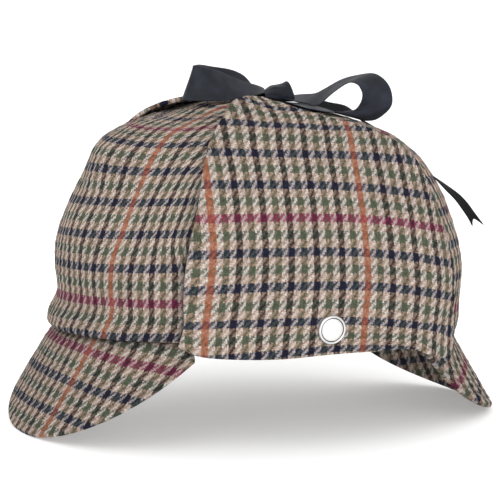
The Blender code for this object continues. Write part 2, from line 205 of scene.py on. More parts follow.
print("rim's middle, mm:", np.round(stand(np.zeros(3)) / MM, 2))

# %% [markdown]
# ## Cloth with rounded edges
# A sewn edge is a fold, so it is round and never square. A Solidify modifier would leave it
# square, so each piece starts as a grid of points on its middle face, and two skins grow from it,
# which close on each other near the edges. Grid lines crowd together there to carry the round.
# The UV map keeps where each point lies in the check, in metres of cloth, and an attribute keeps
# painted shade, which darkens the colour where a piece lies tucked in or shaded.

# %% Two skins from one grid
THIN_EDGE = 0.12


def crowded(count, crowding=0.9):
    """Steps from 0 to 1 that are closest together at both ends."""
    even = np.linspace(0.0, 1.0, count)
    return even - crowding * np.sin(2 * math.pi * even) / (2 * math.pi)


def walked(points):
    """Distance along the cloth from the first row of points."""
    steps = np.linalg.norm(np.diff(points, axis=0), axis=-1)
    return np.concatenate([np.zeros_like(steps[:1]), np.cumsum(steps, axis=0)])


def edge_distance(grid):
    """How far each point lies from the nearest edge of its grid, along the cloth."""
    up, across = walked(grid), walked(grid.swapaxes(0, 1)).T
    return np.minimum.reduce([up, up[-1:] - up, across, across[:, -1:] - across])


def rounded(grid, radius, least=THIN_EDGE):
    """The share of the full thickness, which falls to least at the edges in a round."""
    inside = ramp(edge_distance(grid), 0.0, radius)
    return np.maximum(np.sqrt(1.0 - (1.0 - inside) ** 2), least)


def grid_normals(grid):
    rows, columns = np.gradient(grid, axis=0), np.gradient(grid, axis=1)
    return unit(np.cross(columns, rows))


# %% A woollen surface is never quite smooth
NAP = 0.14 * MM
NAP_MARGIN = 5.0 * MM
wool = np.random.default_rng(7)


def woolly(grid):
    """Small ups and downs of the nap, fading out at the sewn edges."""
    return wool.normal(0.0, NAP, grid.shape[:2]) * (rounded(grid, NAP_MARGIN) - THIN_EDGE)


# %% Close two skins into one piece of cloth
def placed(name, data):
    """A new object with this data, in the scene."""
    piece = bpy.data.objects.new(name, data)
    bpy.context.scene.collection.objects.link(piece)
    return piece


def face_outward(mesh):
    shell = bmesh.new()
    shell.from_mesh(mesh)
    bmesh.ops.recalc_face_normals(shell, faces=shell.faces)
    shell.to_mesh(mesh)
    shell.free()


def closed_cloth(name, outer, inner, cloth_map, materials, tuck=None):
    """A closed mesh between two grids, with the outer skin in the first material."""
    rows, columns = outer.shape[:2]
    number = np.arange(rows * columns).reshape(rows, columns)
    a, b, c, d = number[:-1, :-1], number[:-1, 1:], number[1:, 1:], number[1:, :-1]
    front = np.stack([a, b, c, d], -1).reshape(-1, 4)
    back = front[:, ::-1] + number.size
    border = np.concatenate([number[0], number[1:, -1], number[-1, -2::-1], number[-2:0:-1, 0]])
    ahead = np.roll(border, -1)
    rim = np.stack([ahead, border, border + number.size, ahead + number.size], -1)
    faces = np.concatenate([front, back, rim])

    points = np.concatenate([outer.reshape(-1, 3), inner.reshape(-1, 3)])
    mesh = bpy.data.meshes.new(name)
    mesh.from_pydata(points.tolist(), [], faces.tolist())
    layer = mesh.uv_layers.new(name="cloth")
    places = np.concatenate([cloth_map.reshape(-1, 2)] * 2)
    layer.data.foreach_set("uv", places[faces.ravel()].astype(np.float32).ravel())
    # Painted shade, from 0 to 1, goes on every point as an attribute that the tweed reads.
    shaded = np.zeros(outer.shape[:2]) if tuck is None else tuck
    shaded = np.concatenate([shaded.ravel()] * 2).astype(np.float32)
    mesh.attributes.new("tuck", "FLOAT", "POINT").data.foreach_set("value", shaded)
    for material in materials:
        mesh.materials.append(material)
    skin = np.zeros(len(faces), np.int32)
    skin[len(front):len(front) + len(back)] = len(materials) - 1
    mesh.polygons.foreach_set("material_index", skin)
    face_outward(mesh)
    mesh.shade_smooth()
    return placed(name, mesh)


def sew_on(piece, slot, *nodes):
    """The piece rides with the hat and stands for its plain solids."""
    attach(piece, "root")
    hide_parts(*nodes)
    print(f"{piece.name}: {len(piece.data.polygons)} faces")
    return piece


# %% [markdown]
# ## Shader sums in plain Python
# A weave is arithmetic: which thread, which row, which is on top. Nodes could be laid out by hand,
# but wrapping a socket in a small class lets it be written as sums, each adding a Math node.

# %% One socket, with arithmetic
class Value:
    def __init__(self, finish, socket):
        self.finish, self.socket = finish, socket

    def math(self, operation, first, second=None):
        sockets = {0: first} if second is None else {0: first, 1: second}
        return self.finish.node("ShaderNodeMath", {"operation": operation}, sockets)

    def __add__(self, other):
        return self.math("ADD", self, other)

    __radd__ = __add__

    def __sub__(self, other):
        return self.math("SUBTRACT", self, other)

    def __rsub__(self, other):
        return self.math("SUBTRACT", other, self)

    def __mul__(self, other):
        return self.math("MULTIPLY", self, other)

    __rmul__ = __mul__

    def __truediv__(self, other):
        return self.math("DIVIDE", self, other)

    def __pow__(self, other):
        return self.math("POWER", self, other)

    def __mod__(self, other):
        return self.math("FLOORED_MODULO", self, other)

    def __lt__(self, other):
        return self.math("LESS_THAN", self, other)

    def floor(self):
        return self.math("FLOOR", self)

    def is_number(self, other):
        return self.math("COMPARE", self, other)


# %% One material, with one way to add any node
NEARLY = 0.1


class Finish:
    def __init__(self, name, **constants):
        self.material = bpy.data.materials.new(name)
        self.material.use_nodes = True
        self.tree = self.material.node_tree
        self.shader = self.tree.nodes["Principled BSDF"]
        for socket, value in constants.items():
            self.shader.inputs[socket.replace("_", " ")].default_value = value

    def node(self, kind, settings=None, sockets=None, output=0):
        made = self.tree.nodes.new(kind)
        for name, value in (settings or {}).items():
            if name == "stops":
                self.set_stops(made.color_ramp, value)
            else:
                setattr(made, name, value)
        for name, value in (sockets or {}).items():
            if isinstance(value, Value):
                self.tree.links.new(value.socket, made.inputs[name])
            else:
                made.inputs[name].default_value = value
        if kind == "ShaderNodeMath" and made.operation == "COMPARE":
            made.inputs[2].default_value = NEARLY
        return Value(self, made.outputs[output])

    def set_stops(self, shades, stops):
        while len(shades.elements) < len(stops):
            shades.elements.new(0.5)
        for element, (position, colour) in zip(shades.elements, stops):
            element.position = position
            element.color = (*colour, 1.0)

    def mix(self, factor, first, second, blend="MIX"):
        settings = {"data_type": "RGBA", "blend_type": blend}
        sockets = {0: factor, 6: self.colour(first), 7: self.colour(second)}
        return self.node("ShaderNodeMix", settings, sockets, output=2)

    def colour(self, colour):
        return colour if isinstance(colour, Value) else (*colour, 1.0)

    def cloth_place(self):
        """Where a point lies on the cloth, across and along, in metres."""
        place = self.node("ShaderNodeUVMap", {"uv_map": "cloth"})
        across = self.node("ShaderNodeSeparateXYZ", None, {0: place}, output=0)
        along = self.node("ShaderNodeSeparateXYZ", None, {0: place}, output=1)
        return place, across, along

    def noise(self, place, scale, detail=2.0):
        sockets = {"Vector": place, "Scale": scale, "Detail": detail}
        return self.node("ShaderNodeTexNoise", None, sockets)

    def feed(self, socket, value):
        self.tree.links.new(value.socket, self.shader.inputs[socket])

    def relief(self, height, distance, strength=1.0):
        sockets = {"Height": height, "Distance": distance, "Strength": strength}
        self.feed("Normal", self.node("ShaderNodeBump", None, sockets))


def dye(red, green, blue):
    """A colour as seen on a screen, 0 to 255, made linear for the shader."""
    return tuple(((c / 255 + 0.055) / 1.055) ** 2.4 for c in (red, green, blue))


# %% [markdown]
# ## The tweed
# The cloth is a two-and-two twill in a gun-club check: stripes of four threads in cream, green,
# cream and dark one way, and tan, green, tan and navy the other. Where two stripes cross, the
# diagonal twill breaks into the small teeth of a houndstooth. Every sixth dark stripe is orange
# and every sixth navy row is crimson, which makes the large windows. A painted picture of the
# cloth would blur close up, so the threads are counted out here, and noise fluffs their edges.

# %% Weave the tweed
THREAD = 0.831 * MM
PICK = 1.075 * MM
STRIPE = 4
WINDOW = 6
THREAD_RELIEF = 0.3 * MM
DEEP_SHADE = (0.012, 0.011, 0.011)
WARP_DYES = {
    "dark": dye(36, 33, 37), "cream": dye(200, 190, 184),
    "green": dye(78, 84, 68), "orange": dye(158, 92, 68),
}
WEFT_DYES = {
    "navy": dye(26, 32, 58), "tan": dye(160, 134, 116),
    "green": dye(84, 90, 74), "crimson": dye(124, 40, 72),
}


def striped(finish, stripe, plain, middle, ground, rare):
    """The colour of a stripe: every other one is the ground, and the rest take turns."""
    is_ground = (stripe % 2).is_number(1)
    is_middle = (stripe % 4).is_number(2)
    is_rare = (stripe % (4 * WINDOW)).is_number(0)
    colour = finish.mix(is_ground, plain, ground)
    colour = finish.mix(is_middle, colour, middle)
    return finish.mix(is_rare, colour, rare)


def weave_tweed():
    tweed = Finish("tweed", Roughness=0.95, Specular_IOR_Level=0.08)
    place, across, along = tweed.cloth_place()
    drift = tweed.noise(place, 300.0) - 0.5
    hairs = tweed.noise(place, 2100.0, detail=3.0) - 0.5
    other_hairs = tweed.noise(place, 1500.0, detail=3.0) - 0.5
    across = across / THREAD + drift * 0.7 + hairs * 2.8 + STRIPE / 2
    along = along / PICK - drift * 0.6 + other_hairs * 2.4 + STRIPE / 2
    thread, pick = across.floor(), along.floor()

    column, row = (thread / STRIPE).floor(), (pick / STRIPE).floor()
    warp = striped(tweed, column, WARP_DYES["dark"], WARP_DYES["green"],
                   WARP_DYES["cream"], WARP_DYES["orange"])
    weft = striped(tweed, row, WEFT_DYES["navy"], WEFT_DYES["green"],
                   WEFT_DYES["tan"], WEFT_DYES["crimson"])
    on_top = ((thread - pick) % 4) < 2
    bold_row = (row % 4).is_number(0)
    bold_column = (column % (4 * WINDOW)).is_number(0)
    dark_column = (column % 4).is_number(0)
    fuzz = tweed.noise(place, 1150.0, detail=2.0) - 0.5
    napped = (on_top * 0.7 + fuzz * 0.9 + 0.15) * (1 - bold_row * 0.3)
    napped = napped + (1 - napped) * (dark_column * 0.3 + bold_column * 0.05)
    colour = tweed.mix(napped, weft, warp)

    spun = tweed.node("ShaderNodeTexWhiteNoise", {"noise_dimensions": "2D"}, {
        "Vector": tweed.node("ShaderNodeCombineXYZ", None, {0: thread, 1: pick})})
    heather = tweed.noise(place, 1900.0, detail=4.0)
    shade = tweed.noise(place, 45.0, detail=3.0)
    round_warp = 1 - ((across % 1) * 2 - 1) ** 2
    round_weft = 1 - ((along % 1) * 2 - 1) ** 2
    height = on_top * (round_warp + 0.4) + (1 - on_top) * round_weft + hairs * 2.2
    light = (heather - 0.5) * 2.0 + (spun - 0.5) * 0.3 + (shade - 0.5) * 0.2
    # Partly painted shade: height * 0.07 darkens the hollows between threads; the rest is random
    # tone of the yarn.
    light = light + height * 0.07 + 0.44
    colour = tweed.mix(1.0, colour, tweed.node("ShaderNodeValToRGB", {"stops": (
        (0.15, (0.24, 0.24, 0.25)), (0.5, (0.5, 0.5, 0.5)), (0.85, (0.78, 0.77, 0.75)))},
        {0: light}), "OVERLAY")
    # Painted shade: the attribute darkens the weave towards DEEP_SHADE beside the flaps, low on
    # the crown and on the peaks.
    shadow = tweed.node("ShaderNodeAttribute", {"attribute_name": "tuck"}, output=2)
    tweed.feed("Base Color", tweed.mix(shadow * 0.7, colour, DEEP_SHADE))
    tweed.relief(height, THREAD_RELIEF, 0.8)
    return tweed.material


TWEED = weave_tweed()


# %% [markdown]
# ## The plain inside
# The inside shows only from below. A plain close-woven cotton of two browns is enough there.

# %% Weave the inside cloth
COTTON_RIB = 0.5 * MM


def weave_inside():
    cotton = Finish("inside_cotton", Roughness=0.85, Sheen_Weight=0.1)
    place, across, along = cotton.cloth_place()
    ribs = ((across / COTTON_RIB) % 1 - 0.5) ** 2 + ((along / COTTON_RIB) % 1 - 0.5) ** 2
    tone = cotton.noise(place, 60.0, detail=4.0)
    cotton.feed("Base Color", cotton.mix(tone, dye(70, 58, 48), dye(96, 80, 66)))
    cotton.relief(ribs, 0.1 * MM, 0.5)
    return cotton.material


INSIDE = weave_inside()


# %% [markdown]
# ## The crown panels
# The front and back panels are wide, and the two side panels lie under the flaps. The check runs
# level round the hat, and its columns lean together towards the top as the cloth is eased in.
# Worn cloth is soft: the front hem puffs and sags over its peak, the back hem is drawn in by its
# stitching, and the front has a worn shoulder. A cloth simulation would settle where it liked, so
# these are humps and ramps of a few millimetres, laid along the dome's own normals.

# %% How the check lies on the front panel
CHECK_COLUMN = 4 * STRIPE * THREAD
CHECK_ROW = 4 * STRIPE * PICK
FRONT_COLUMNS = Table(
    ("arc", "turn", "step", "squeeze"),
    (
        (0, -65.9, 7.6, 0.02), (36, -65.7, 7.6, 0.03), (52, -65.0, 7.7, 0.45),
        (68, -65.4, 7.8, 0.42), (85, -65.9, 9.2, 0.75), (102, -68.0, 10.4, 0.20),
        (122, -72.5, 13.0, 0.05), (146, -77.5, 22.0, 0.02), (172, -84.0, 60.0, 0.01),
    ),
)
FRONT_ROWS = Table(
    ("arc", "rise"),
    (
        (0, 0.10), (18, 0.16), (35, 0.20), (52, 0.22), (85, 0.18),
        (102, 0.22), (118, 0.34), (140, 0.20), (172, 0.0),
    ),
)
FRONT_ROW_STEP = 16.8
MIDDLE_FRONT = -92.0


def front_check(turn, points):
    """The front panel's own place in the check, read from the hat's left half."""
    arc = walked(points) / MM
    degrees = np.degrees(turn) * np.ones_like(arc)
    columns = FRONT_COLUMNS.at(arc)
    step, squeeze = columns["step"], columns["squeeze"]
    seen = np.maximum(degrees, MIDDLE_FRONT)
    inside = step**2 - 4 * squeeze * (seen - columns["turn"])
    inside = np.maximum(inside, (0.3 * step) ** 2)
    column = (step - np.sqrt(inside)) / (2 * squeeze)
    radius = np.hypot(points[..., 0], points[..., 1]) / MM
    past = np.minimum(degrees - MIDDLE_FRONT, 0.0)
    column += np.radians(past) * radius / (CHECK_COLUMN / MM)
    rise = FRONT_ROWS.at(arc)["rise"] * (np.maximum(degrees, -106.0) + 66.0)
    on_hem = 1.1 * ramp(degrees, -75, -50) * ramp(arc, 14, 0)
    row = (arc + on_hem - 1.6 - rise) / FRONT_ROW_STEP - 1.0
    return np.stack([column * CHECK_COLUMN, row * CHECK_ROW], -1)


def back_check(turn, points):
    """The back panel's check runs level, with its columns about the middle."""
    arc = walked(points) / MM
    degrees = np.degrees(turn) * np.ones_like(arc) - 90.0
    radius = np.hypot(points[..., 0], points[..., 1])
    across = np.radians(degrees) * radius
    return np.stack([across + 3.5 * CHECK_COLUMN, (arc + 1.0) * MM - CHECK_ROW], -1)


def side_check(turn, points):
    return np.stack([points[..., 1], walked(points)], -1)


def beside_flap(turn, share, points):
    """Dark on the crown next to the flaps' edges, which shade it."""
    degrees = np.abs(np.degrees(turn))
    from_side = np.minimum(degrees, 180.0 - degrees)
    edge = np.where(turn < 0, 40.5 + 13.0 * ramp(share, 0.0, 0.8) ** 6, 42.5)
    gap = np.radians(from_side - edge) * np.hypot(points[..., 0], points[..., 1])
    return np.exp(-np.maximum(gap, 0.0) / (2.2 * MM)) * ramp(share, 0.84, 0.79)


# %% The hem and the soft waves of the cloth
CLOTH_WAVE = 0.9 * MM
DRAWN_IN = 2.4 * MM
HEM_REACH = 0.16
HEM_SHADE = 0.19
HEM_SHIFT = Table(
    ("turn", "down"),
    ((-150, 0.0), (-140, 0.5), (-130, 2.2), (-120, 4.2), (-110, 4.8), (-100, 4.3), (-90, 3.4),
     (-80, 1.9), (-70, 0.7), (-60, -0.6), (-50, -2.3), (-40, -3.5), (-30, -3.6)),
)


def hem_down(turn):
    """How far the front hem sags, which is more on the hat's far side."""
    return HEM_SHIFT.at(np.degrees(turn))["down"] * MM


def drawn_in(turn):
    """How far the stitching draws the back hem in, out of the way of the flaps."""
    return DRAWN_IN * ramp(np.abs(np.degrees(turn) - 90), 43, 29)


def front_shoulder(turn, share):
    """A worn shoulder across the front of the crown, with a flatter slope above it."""
    degrees = np.degrees(turn)
    middle = soft_ramp(degrees, -58, -92) * soft_ramp(degrees, -143, -125)
    shoulder = 2.7 * MM * hump(share, 0.515, 0.07)
    slope = 2.6 * MM * hump(share, 0.745, 0.075)
    return (shoulder - slope) * middle


def soft_waves(points):
    """From 0 to 1, as cloth that has been steamed and worn is never quite even."""
    x, y, z = (points[..., axis] / MM for axis in range(3))
    wave = np.sin(0.11 * x + 0.05 * z + 0.6) * np.sin(0.09 * y - 0.07 * z + 1.1)
    wave = wave + 0.5 * np.sin(0.21 * y + 0.13 * x) * np.sin(0.17 * z + 0.4)
    return np.clip(0.5 + wave / 2.6, 0.0, 1.0)


# %% Cut and sew the crown
CROWN_ROWS = 96
CROWN_TIP = 0.9985
EDGE_ROUND = 1.6 * MM


def crown_panel(name, middle, half, columns, check, start):
    share = start + crowded(CROWN_ROWS, 0.75)[:, None] * (CROWN_TIP - start)
    section = CROWN.at(share[:, 0])
    least = np.minimum(section["half_width"], section["half_length"]) * MM
    gap = np.minimum(SEAM_GAP / 2 / np.maximum(least, 1e-4), half * 0.4)[:, None]
    turn = middle + (half - gap) * (2 * crowded(columns) - 1)[None, :]
    share = share * np.ones_like(turn)
    skin, out = dome(turn, share), dome_normal(turn, share)
    check_place = check(turn, skin)
    degrees = np.abs(np.degrees(turn))
    open_cloth = ramp(np.minimum(degrees, 180.0 - degrees), 47, 61)
    skin = skin - out * (CLOTH_WAVE * soft_waves(skin) * open_cloth * (share < 0.95))[..., None]
    if middle < 0:
        puff = 2.2 * MM * hump(share, 0.022, 0.035) * open_cloth
        skin = skin + out * (puff + front_shoulder(turn, share))[..., None]
        skin[..., 2] -= hem_down(turn) * ramp(share, HEM_REACH, 0.0) ** 2
    else:
        puff = 1.8 * MM * hump(share, 0.068, 0.042) * open_cloth
        tight = drawn_in(turn) * ramp(share, 0.06, 0.0) ** 1.5
        skin = skin + out * (puff - tight)[..., None]
    fat = rounded(skin, EDGE_ROUND) * CROWN_WALL / 2
    middle_skin = skin - out * CROWN_WALL / 2
    outer = middle_skin + out * (fat + woolly(skin))[..., None]
    inner = middle_skin - out * fat[..., None]
    # Painted shade: darker on the crown beside the flaps' edges and towards the hem.
    tuck = np.maximum(beside_flap(turn, share, skin), HEM_SHADE * ramp(share, 0.30, 0.05))
    return closed_cloth(name, stand(outer), stand(inner), check_place, (TWEED, INSIDE), tuck)


side_half = math.pi / 2 - END_PANEL_HALF
for side, middle, half, columns, check, start in (
    ("front", -math.pi / 2, END_PANEL_HALF, 150, front_check, 0.0),
    ("back", math.pi / 2, END_PANEL_HALF, 150, back_check, 0.0),
    ("left", 0.0, side_half, 90, side_check, 0.035),
    ("right", math.pi, side_half, 90, side_check, 0.035),
):
    panel = crown_panel(f"{side}_crown_cloth", middle, half, columns, check, start)
    sew_on(panel, "tweed", f"crown_{side}")

# %% [markdown]
# ## The ear flaps
# Each flap is two layers of tweed, turned up and tied, so it lies on the crown's side. It bends
# over the dome but its columns still hang straight, because it was cut flat. The ribbon pulls the
# near flap's tip, which stands off the crown with a crease. One function makes both flaps.

# %% Sizes of a flap
FLAP_GAP = 1.1 * MM
FLAP_THICKNESS = 2.4 * MM
FLAP_HEM_REACH = 0.08
FLAP_WAVE = 0.7 * MM
FLAP_STEPS = 150
FLAP_MIDDLE = math.radians(-8.0)
LOWER_FLAP_SIDES = ((0.00, -40.0, 45.0), (0.08, -40.0, 48.0), (0.17, -40.0, 46.0),
                    (0.30, -40.0, 43.0))
FLAP_ENDS = Table(
    ("across", "top_share", "hem_drop"),
    (
        (0.00, 0.760, 2.5), (0.06, 0.820, 2.5), (0.15, 0.850, 2.4),
        (0.30, 0.865, 1.6), (0.50, 0.850, 0.7), (0.65, 0.820, 1.2),
        (0.80, 0.785, 2.4), (0.92, 0.740, 3.4), (1.00, 0.620, 3.6),
    ),
)
NEAR_FLAP_ENDS = Table(
    ("across", "top_share", "hem_drop"),
    (
        (0.00, 0.820, -2.0), (0.03, 0.885, 0.0), (0.08, 0.935, 1.8),
        (0.18, 0.945, 1.9), (0.32, 0.930, 0.9), (0.45, 0.915, -1.2),
        (0.52, 0.890, -2.0), (0.60, 0.860, -2.3), (0.75, 0.820, -2.0),
        (0.87, 0.785, 3.2), (0.94, 0.730, 5.6), (1.00, 0.620, 4.6),
    ),
)
NEAR_FLAP_SIDES = Table(
    ("up", "front_turn", "back_turn"),
    (
        *LOWER_FLAP_SIDES,
        (0.50, -41.0, 42.0), (0.62, -43.0, 41.0), (0.75, -46.0, 40.0), (0.88, -50.0, 40.5),
        (1.00, -54.5, 41.0),
    ),
)
TIP_LIFT = Table(
    ("share", "lift"),
    ((0.70, 0.0), (0.76, 1.2), (0.81, 3.2), (0.855, 4.2), (0.895, 3.4), (0.93, 1.6), (1.0, 0.3)),
)
FLAP_SIDES = Table(
    ("up", "front_turn", "back_turn"),
    (
        *LOWER_FLAP_SIDES,
        (0.50, -40.0, 42.0), (0.75, -40.5, 40.0), (0.90, -45.0, 40.5), (1.00, -50.0, 41.0),
    ),
)
FLAP_ROWS = Table(
    ("arc", "row"),
    (
        (-12.0, -5), (3.5, -4), (18.5, -3), (35.8, -2), (51.6, -1), (67.8, 0),
        (82.8, 1), (99.3, 2), (121.5, 3), (142.0, 4), (159.0, 5), (176.0, 6),
    ),
)
FLAP_COLUMNS = Table(
    ("y", "column"),
    (
        (-83.0, -8), (-71.0, -7), (-58.5, -6), (-47.5, -5), (-36.0, -4), (-24.0, -3),
        (-11.7, -2), (1.2, -1), (14.5, 0), (28.5, 1), (43.3, 2), (57.5, 3), (69.0, 4),
        (79.5, 5),
    ),
)
FLAP_EASE = Table(
    ("arc", "shift", "spread"),
    (
        (0, 0.5, 1.04), (18, 0.6, 1.04), (36, 0.7, 1.03), (52, 0.3, 1.00), (68, -0.5, 0.985),
        (83, -1.2, 0.96), (99, -0.3, 0.96), (122, 6.0, 0.97), (145, 10.0, 1.00),
        (176, 10.0, 1.00),
    ),
)


# %% Shape the flaps
def flap_check(points, up_walk):
    """The flap's place in the check: columns hang down, and rows sag towards both ends."""
    y, arc = points[..., 1] / MM, up_walk / MM
    ease = FLAP_EASE.at(arc)
    column = FLAP_COLUMNS.at((y - ease["shift"] + 20) / ease["spread"] - 20)["column"]
    sag = np.where(y > 0, 0.0019, 0.00125) * y**2
    sag = sag + 0.075 * ramp(arc, 85, 115) * (22.0 - y)
    row = FLAP_ROWS.at(arc + sag)["row"]
    return np.stack([column * CHECK_COLUMN, row * CHECK_ROW], -1)


def tip_lift(across, share):
    """How far the tied tip of the near flap stands off, with a crease where it starts."""
    lift = TIP_LIFT.at(share)["lift"] * ramp(across, 0.34, 0.0) ** 1.6
    crease = 0.6 * hump(share, 0.852, 0.007) * ramp(across, 0.56, 0.46)
    return (lift - crease) * MM


def flap(name, side):
    across, up = crowded(FLAP_STEPS)[None, :], crowded(FLAP_STEPS)[:, None]
    near = side > 0
    ends = (NEAR_FLAP_ENDS if near else FLAP_ENDS).at(across)
    sides = (NEAR_FLAP_SIDES if near else FLAP_SIDES).at(up)
    turn = np.radians(sides["front_turn"] + (sides["back_turn"] - sides["front_turn"]) * across)
    share = up * ends["top_share"]
    skin, out = dome(turn, share), dome_normal(turn, share)
    skin[..., 2] -= ends["hem_drop"] * MM * ramp(up, FLAP_HEM_REACH, 0.0)
    fat = rounded(skin, EDGE_ROUND) * FLAP_THICKNESS / 2
    rest = FLAP_GAP + FLAP_THICKNESS / 2 + FLAP_WAVE * soft_waves(skin)
    if near:
        rest = rest + tip_lift(across, share)
    outer = skin + out * (rest + fat + woolly(skin))[..., None]
    inner = skin + out * (rest - fat)[..., None]
    up_middle = walked(dome(FLAP_MIDDLE * np.ones_like(turn), share))
    check = flap_check(skin, up_middle)
    if side < 0:
        outer, inner = (grid[:, ::-1] * (-1, 1, 1) for grid in (outer, inner))
        check = check[:, ::-1] * (-1, 1)
    return closed_cloth(name, stand(outer), stand(inner), check, (TWEED,))


sew_on(flap("left_flap_cloth", 1), "tweed", "ear_flap_left")
sew_on(flap("right_flap_cloth", -1), "tweed", "ear_flap_right")

# %% [markdown]
# ## The peaks
# A peak is tweed over a stiff core, sewn under the crown's hem. It falls steeply from the rim and
# its edge turns smoothly round. Straight lines run out from the rim at a changing slope, as in any
# stiff sheet that is bent. The hat stands on the lowest part of both peaks, pressed flat there.

# %% Sizes of the peaks
PEAK_THICKNESS = 3.5 * MM
PEAK_REACH = 0.975
PEAK_INSET = 0.8 * MM
PEAK_DROP = 0.6 * MM
PEAK_FALL_POWER = 2.1
PEAK_SET_IN = 4.2 * MM
PEAK_ROWS, PEAK_COLUMNS = 60, 170
PEAK_SHADE, PEAK_SHADE_REACH = 0.22, 3.5 * MM
TUCK = 2.6 * MM
TUCK_STEPS = np.array([1.0, 0.7, 0.35])[:, None, None]
PEAK_VALUES = ("turn", "half_angle", "length", "mid_fall", "end_fall", "taper", "droop", "first")
PEAKS = {
    "front_peak": (-90.0, 55.9, 57.0, 70.2, 65.7, 0.82, 6.5, 5.3),
    "back_peak": (90.0, 59.2, 50.6, 56.7, 120.0, 1.20, 15.0, 9.8),
}


# %% Shape the peaks
def straight_out(turn):
    """The way out from the rim, on the level."""
    return unit(dome_normal(turn, turn * 0) * (1.0, 1.0, 0.0))


def peak_face(peak, across, out):
    """Where the peak's upper face lies, with its neck set in under the crown's hem."""
    turn = np.radians(peak["turn"] + across * peak["half_angle"])
    rim, away = dome(turn, turn * 0), straight_out(turn)
    down = np.array([0.0, 0.0, -1.0])
    change = np.abs(across) ** PEAK_FALL_POWER
    fall = np.radians(peak["mid_fall"] + (peak["end_fall"] - peak["mid_fall"]) * change)
    length = peak["length"] * MM * np.cos(math.pi / 2 * np.abs(across)) ** peak["taper"]
    start = (down * PEAK_DROP - away * PEAK_INSET) * (1.0 - out)[..., None]
    lean = away * np.cos(fall)[..., None] + down * np.sin(fall)[..., None]
    face = rim + start + lean * (length * out)[..., None]
    if peak["turn"] < 0:
        face[..., 2] -= hem_down(turn) * ramp(out, 0.35, 0.0) ** 2
        set_in = PEAK_SET_IN * ramp(np.degrees(turn), -62, -102)
    else:
        set_in = drawn_in(turn)
    return face - away * (set_in * (1.0 - out) ** 1.2)[..., None]


def across_front():
    """How far it is round the front rim to each x."""
    turn = np.linspace(-math.pi + 0.02, -0.02, 601)
    ring = dome(turn, turn * 0)
    arc = walked(ring)
    return ring[:, 0], arc - np.interp(0.0, ring[:, 0], arc)


def peak_check(peak, points, out_walk, orange_x):
    """The peak's check: its rows droop towards the corners, and its columns bend with the rim."""
    arc_x = np.interp(points[..., 0], *across_front())
    fallen = out_walk / MM
    across = arc_x + 0.00225 * MM * fallen**2 - orange_x
    droop = peak["droop"] * (points[..., 0] / (62 * MM)) ** 2
    row = -(fallen - peak["first"] - droop) / FRONT_ROW_STEP
    return np.stack([across, row * CHECK_ROW], -1)


def peak(name, cad_name, orange_x):
    sizes = dict(zip(PEAK_VALUES, PEAKS[cad_name]))
    out = crowded(PEAK_ROWS)[:, None] * np.ones((PEAK_ROWS, PEAK_COLUMNS))
    across = PEAK_REACH * (2 * crowded(PEAK_COLUMNS, 0.6) - 1)[None, :] * np.ones_like(out)
    skin = peak_face(sizes, across, out)
    inward = unit(grid_normals(skin))
    inward = np.where(inward[..., 2:] > 0, inward * (1, 1, 0), inward)
    full = PEAK_THICKNESS / 2
    root = ramp(out, 0.0, 2.0 / sizes["length"])[..., None]
    fat = rounded(skin, 1.8 * MM)[..., None] * full * root + full * (1 - root)
    middle_skin = skin + inward * full
    outer = middle_skin - inward * (fat + woolly(skin)[..., None] * root)
    inner = middle_skin + inward * fat
    turn = np.radians(sizes["turn"] + across[:1] * sizes["half_angle"])
    tucked_in = straight_out(turn) * TUCK_STEPS
    shelf = outer[:1] - tucked_in * TUCK + np.array([0.0, 0.0, 0.25 * MM])
    under = inner[:1] - tucked_in * 0.4 * MM
    outer, inner = np.concatenate([shelf, outer]), np.concatenate([under, inner])
    walk = walked(skin)
    walk = np.concatenate([-TUCK * TUCK_STEPS[..., 0] * np.ones_like(walk[:3]), walk])
    check = peak_check(sizes, np.concatenate([shelf, skin]), walk, orange_x)
    outer, inner = stand(outer), stand(inner)
    for grid in (outer, inner):
        grid[..., 2] = np.maximum(grid[..., 2], 0.0)
    # Painted shade: darkest at the root under the crown's hem, and a little darker over the whole
    # peak.
    tuck = np.clip(np.exp(-walk / PEAK_SHADE_REACH), PEAK_SHADE, 1.0)
    return closed_cloth(name, outer, inner, check, (TWEED,), tuck)


sew_on(peak("front_peak_cloth", "front_peak", 30.5 * MM), "tweed", "front_peak")
sew_on(peak("back_peak_cloth", "back_peak", 12.0 * MM), "tweed", "back_peak")
